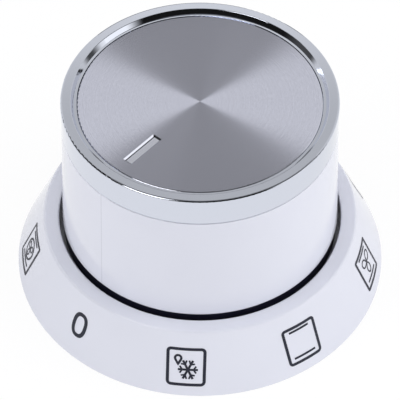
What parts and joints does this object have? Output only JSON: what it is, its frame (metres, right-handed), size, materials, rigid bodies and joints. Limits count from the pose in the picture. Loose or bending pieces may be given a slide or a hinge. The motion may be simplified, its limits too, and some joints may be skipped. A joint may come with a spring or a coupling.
{
  "type": "oven control knob",
  "caption": "Oven control knob: tapered white barrel with a chrome cap, brushed disc and pointer groove, turning inside a flared white scale ring.",
  "frame": {"origin": "centre of the base, on the turning axis, on the face that stands on the panel", "axes": "+Z out of the panel along the turning axis; +Y along the pointer at rest"},
  "size_m": [0.0598, 0.0598, 0.0363],
  "materials": {
    "white_plastic": "glossy cool-white moulded plastic",
    "black_plastic": "glossy black moulded plastic",
    "chrome": "bright chrome plating on plastic",
    "spun_aluminium": "circular brushed",
    "spring_steel": "plain rolled strip",
    "film": "thin double-sided film"
  },
  "bodies": {
    "scale": {"scale_ring": "white_plastic"},
    "knob": {"hub_core": "black_plastic", "shaft_clip": "spring_steel", "barrel_shell": "white_plastic", "chrome_cap": "chrome", "brushed_disc": "spun_aluminium", "disc_tape": "film"}
  },
  "joints": [
    {"name": "knob_turn", "type": "hinge", "parent": "scale", "child": "knob", "pos_m": [0, 0, 0], "axis": [0, 0, 1], "continuous": true}
  ]
}
